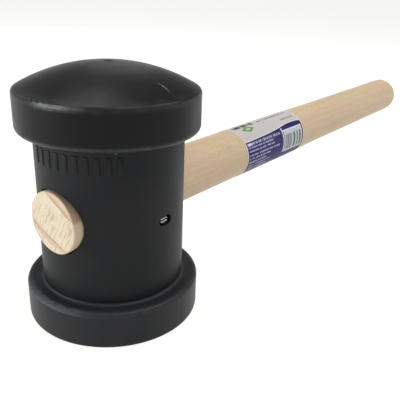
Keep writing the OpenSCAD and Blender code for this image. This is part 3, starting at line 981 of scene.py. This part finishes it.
# ---------------------------------------------------------------- handle
def handle_piece():
    n = 144
    prof = [(0.0, X0)]
    prof += steps((0.0, X0), (HANDLE_R - 0.8, X0), 8)
    prof += [(HANDLE_R - 0.8 + 0.8 * math.sin(math.radians(a)), X0 + 0.8 * (1 - math.cos(math.radians(a)))) for a in (22.5, 45, 67.5, 90)]
    cone0, cone1 = L1 + 4.0, L1 + 34.0
    prof += steps((HANDLE_R, X0 + 0.8), (HANDLE_R, cone0), 44)
    prof += [(GRIP_R + (HANDLE_R - GRIP_R) * (0.5 + 0.5 * math.cos(math.pi * i / 8)), cone0 + (cone1 - cone0) * i / 8) for i in range(1, 9)]
    er = 10.0
    prof += steps((GRIP_R, cone1), (GRIP_R, X1 - er), 30)
    prof += arc(0, 0, er, 0, 0, 1)[:0]
    prof += [(GRIP_R - er + er * math.cos(math.radians(a)), X1 - er + er * math.sin(math.radians(a))) for a in range(8, 91, 8)]
    prof += [(GRIP_R - er, X1)] + [(GRIP_R - er - (GRIP_R - er) * i / 4, X1) for i in range(1, 5)]
    angles = [2 * math.pi * i / n for i in range(n)]
    def place(r, a, h):
        # hand of the turner: very slight unevenness along the grip
        if r > 1 and h > 60:
            r += 0.06 * noise.noise(Vector((h * 0.03, math.cos(a), math.sin(a)))) if not (L0 - 3 < h < L1 + 3) else 0.0
        return (h, -r * math.cos(a), EYE_Z + r * math.sin(a))
    verts, faces, rings = revolve(prof, angles, place)
    edge = []
    for v in verts:
        r = math.hypot(v[1], v[2] - EYE_Z)
        edge.append(1.0 if v[0] < X0 + 1.0 and r > HANDLE_R - 0.9 else 0.0)
    return build("wooden_handle", verts, faces, "mallet", "handle", sharp=50,
                 attrs={"edge": edge}, mats=[M_WOOD])


def label_piece():
    """Paper wrapped once round the handle, its end lapping over itself at the back."""
    n = 180
    xs = [L0 + (L1 - L0) * i / 84 for i in range(85)]
    def r_out(phi):
        lap = 0.0
        if phi > 150:
            lap = 0.11
        if phi > 174:
            lap = 0.11 * (180 - phi) / 6.0
        return LABEL_R + lap
    phis = [-180 + 360.0 * i / n for i in range(n)]
    k = phis.index(min(phis, key=lambda p: abs(p - 150)))
    phis[k] = 149.9
    phis.insert(k + 1, 150.1)
    n = len(phis)
    verts, uvs = [], []
    def ring(x, inner, lift):
        ids = []
        for p in phis:
            a = math.radians(p)
            r = (HANDLE_R + 0.01) if inner else r_out(p) + lift
            if inner and p > 150:
                r = HANDLE_R + 0.01
            ids.append(len(verts))
            verts.append((x, -r * math.cos(a), EYE_Z + r * math.sin(a)))
            uvs.append(((x - L0) / (L1 - L0), (p + 180) / 360.0))
        return ids
    rings = [ring(xs[0], True, 0)]
    rings += [ring(x, False, 0.03 * noise.noise(Vector((x * 0.11, 3.3, 1.0)))) for x in xs]
    rings += [ring(xs[-1], True, 0)]
    faces = []
    for a, b in zip(rings, rings[1:] + rings[:1]):
        for i in range(n):
            j = (i + 1) % n
            faces.append((a[i], b[i], b[j], a[j]))
    def uv(li, vi, me):
        return uvs[vi]
    ob = build("paper_label", verts, faces, "mallet", "handle_label", sharp=35, mats=[M_LABEL], attrs={"edge": [0.0] * len(verts)})
    layer = ob.data.uv_layers.new(name="print")
    for poly in ob.data.polygons:
        us = [uvs[ob.data.loops[li].vertex_index] for li in poly.loop_indices]
        wrap = max(u[1] for u in us) - min(u[1] for u in us) > 0.5
        for li, u in zip(poly.loop_indices, us):
            layer.data[li].uv = (u[0], 1.0 if wrap and u[1] < 0.5 else u[1])
    return ob


# ---------------------------------------------------------------- screw
def screw_piece():
    """Slotted cheese head, 5.4 across, with the slot lying along the handle, on a pointed shank."""
    verts, faces = [], []
    HR, HH, SW, SD, SR = 2.7, 2.4, 0.8, 1.2, 1.7
    y_out = SEAT_Y - HH
    def add_loop(pts):
        ids = list(range(len(verts), len(verts) + len(pts)))
        verts.extend(pts)
        return ids
    def skin(a, b):
        for i in range(len(a)):
            j = (i + 1) % len(a)
            faces.append((a[i], b[i], b[j], a[j]))
    # two lands beside the slot
    for sgn in (1, -1):
        def outline(r, z_in):
            a0 = math.asin(z_in / r)
            pts = []
            m = 20
            for i in range(m + 1):
                a = a0 + (math.pi - 2 * a0) * i / m
                pts.append((r * math.cos(a), sgn * r * math.sin(a)))
            return pts
        levels = [(HR, SW / 2, y_out + SD), (HR, SW / 2, y_out + 0.28), (HR - 0.08, SW / 2 + 0.03, y_out + 0.1), (HR - 0.24, SW / 2 + 0.14, y_out)]
        prev = None
        for r, zin, y in levels:
            ids = add_loop([(px, y, EYE_Z + pz) for px, pz in outline(r, zin)])
            if prev:
                skin(prev, ids)
            else:
                first = ids
            prev = ids
        faces.append(tuple(prev))
        faces.append(tuple(reversed(first)))
    # base of the head and the shank
    m = 40
    prof = [(0.0, y_out + SD), (HR, y_out + SD), (HR, SEAT_Y - 0.15), (HR - 0.15, SEAT_Y), (SR, SEAT_Y)]
    y = SEAT_Y
    while y < SEAT_Y + 25.5:
        prof += [(SR, y + 0.25), (SR - 0.32, y + 0.7), (SR, y + 1.15), (SR, y + 1.4)]
        y += 1.4
    prof += [(SR - 0.3, y + 0.4), (0.4, s_hi[1] - 0.3), (0.0, s_hi[1])]
    v2, f2, _ = revolve(prof, [2 * math.pi * i / m for i in range(m)], lambda r, a, h: (r * math.cos(a), h, EYE_Z + r * math.sin(a)))
    k0 = len(verts)
    verts.extend(v2)
    faces.extend([tuple(i + k0 for i in f) for f in f2])
    return build("slotted_retaining_screw", verts, faces, "mallet", "retaining_screw", sharp=30,
                 attrs={"edge": [0.0] * len(verts)}, mats=[M_SCREW])


crown = crown_piece()
flat_face = flat_piece()
waist = body_piece()
handle = handle_piece()
label = label_piece()
screw = screw_piece()

for name, mat in (("upper_canister", M_CAN), ("upper_canister_lid", M_CAN), ("lower_canister", M_CAN), ("lower_canister_lid", M_CAN),
                  ("upper_shot", M_SHOT), ("lower_shot", M_SHOT)):
    o = nodes[name]
    o.data.materials.clear()
    o.data.materials.append(mat)

# ---------------------------------------------------------------- studio
scene = bpy.context.scene
scene.view_settings.view_transform = "Standard"
scene.view_settings.look = "None"


def floor():
    me = bpy.data.meshes.new("floor")
    s = 14.0
    me.from_pydata([(-s, -s, 0), (s, -s, 0), (s, s, 0), (-s, s, 0)], [], [(0, 1, 2, 3)])
    ob = bpy.data.objects.new("floor", me)
    scene.collection.objects.link(ob)
    ob.location = (0, 0, -0.0002)
    m, k = material("floor_white")
    d = k.add("ShaderNodeBsdfDiffuse")
    d.inputs["Color"].default_value = (0.22, 0.22, 0.218, 1)
    e = k.add("ShaderNodeEmission")
    e.inputs["Color"].default_value = (1.0, 1.0, 0.975, 1)
    e.inputs["Strength"].default_value = 0.85
    add = k.add("ShaderNodeAddShader")
    k.t.links.new(d.outputs[0], add.inputs[0])
    k.t.links.new(e.outputs[0], add.inputs[1])
    # seen from underneath the floor is clear, so the object's base can be looked at
    tr = k.add("ShaderNodeBsdfTransparent")
    mixs = k.add("ShaderNodeMixShader")
    k.t.links.new(k.add("ShaderNodeNewGeometry").outputs["Backfacing"], mixs.inputs[0])
    k.t.links.new(add.outputs[0], mixs.inputs[1])
    k.t.links.new(tr.outputs[0], mixs.inputs[2])
    o = k.add("ShaderNodeOutputMaterial")
    k.t.links.new(mixs.outputs[0], o.inputs[0])
    me.materials.append(m)
    return ob


floor()

world = bpy.data.worlds.new("studio")
scene.world = world
world.use_nodes = True
bg = world.node_tree.nodes["Background"]
bg.inputs["Color"].default_value = (1.0, 1.0, 0.985, 1)
sky = world.node_tree.nodes.new("ShaderNodeTexCoord")
split = world.node_tree.nodes.new("ShaderNodeSeparateXYZ")
fade = world.node_tree.nodes.new("ShaderNodeMapRange")
fade.interpolation_type = "SMOOTHSTEP"
for key, val in (("From Min", 0.0), ("From Max", 0.26), ("To Min", 0.86), ("To Max", 0.27)):
    fade.inputs[key].default_value = val
world.node_tree.links.new(sky.outputs["Generated"], split.inputs[0])
world.node_tree.links.new(split.outputs["Z"], fade.inputs["Value"])
world.node_tree.links.new(fade.outputs["Result"], bg.inputs["Strength"])


def softbox(name, direction, distance, size, power, tint=(1, 1, 1)):
    """A square area light facing the head from a direction (azimuth, elevation in degrees)."""
    az, el = (math.radians(v) for v in direction)
    ld = bpy.data.lights.new(name, "AREA")
    ld.shape = "RECTANGLE"
    ld.size, ld.size_y = size
    ld.energy = power
    ld.color = tint
    ob = bpy.data.objects.new(name, ld)
    scene.collection.objects.link(ob)
    d = Vector((math.cos(az) * math.cos(el), math.sin(az) * math.cos(el), math.sin(el)))
    target = Vector((0.06, 0, 0.075))
    ob.location = target + d * distance
    ob.rotation_mode = "QUATERNION"
    ob.rotation_quaternion = d.to_track_quat("Z", "Y")
    return ob


LIGHTS = [
    ("low_back_box", (50, 10), 1.6, (0.80, 0.50), 0.40),
    ("low_left_box", (150, 12), 1.6, (1.30, 0.80), 14.5),
    ("low_right_box", (330, 10), 1.6, (0.80, 0.50), 1.20),
    ("left_strip", (95, 30), 1.6, (0.35, 0.35), 1.60),
    ("back_box", (45, 30), 1.6, (0.50, 0.50), 0.60),
    ("right_box", (320, 52), 1.6, (0.50, 0.50), 7.20),
    ("high_left_box", (120, 70), 1.6, (0.50, 0.50), 4.60),
    ("high_front_box", (270, 70), 1.6, (0.50, 0.50), 7.20),
    ("high_far_box", (72, 70), 1.6, (0.50, 0.50), 2.90),
    ("top_box", (0, 88), 1.6, (0.60, 0.60), 3.40),
]
for nm, dr, dist, size, power in LIGHTS:
    softbox(nm, dr, dist, size, power)

# ---------------------------------------------------------------- camera
cam_data = bpy.data.cameras.new("camera")
cam = bpy.data.objects.new("camera", cam_data)
scene.collection.objects.link(cam)
cam_data.sensor_width = 36.0
cam_data.lens = 48.18
cam_data.clip_start, cam_data.clip_end = 0.01, 60
fwd = Vector((0.73493585, 0.55287164, -0.39268593))
right = Vector((0.61331926, -0.78896506, 0.03706246))
up = Vector((0.2893247, 0.26808037, 0.91892553))
cam.matrix_world = Matrix(((right.x, up.x, -fwd.x, -0.195557),
                           (right.y, up.y, -fwd.y, -0.210475),
                           (right.z, up.z, -fwd.z, 0.188309),
                           (0, 0, 0, 1)))
scene.camera = cam

bpy.context.view_layer.update()
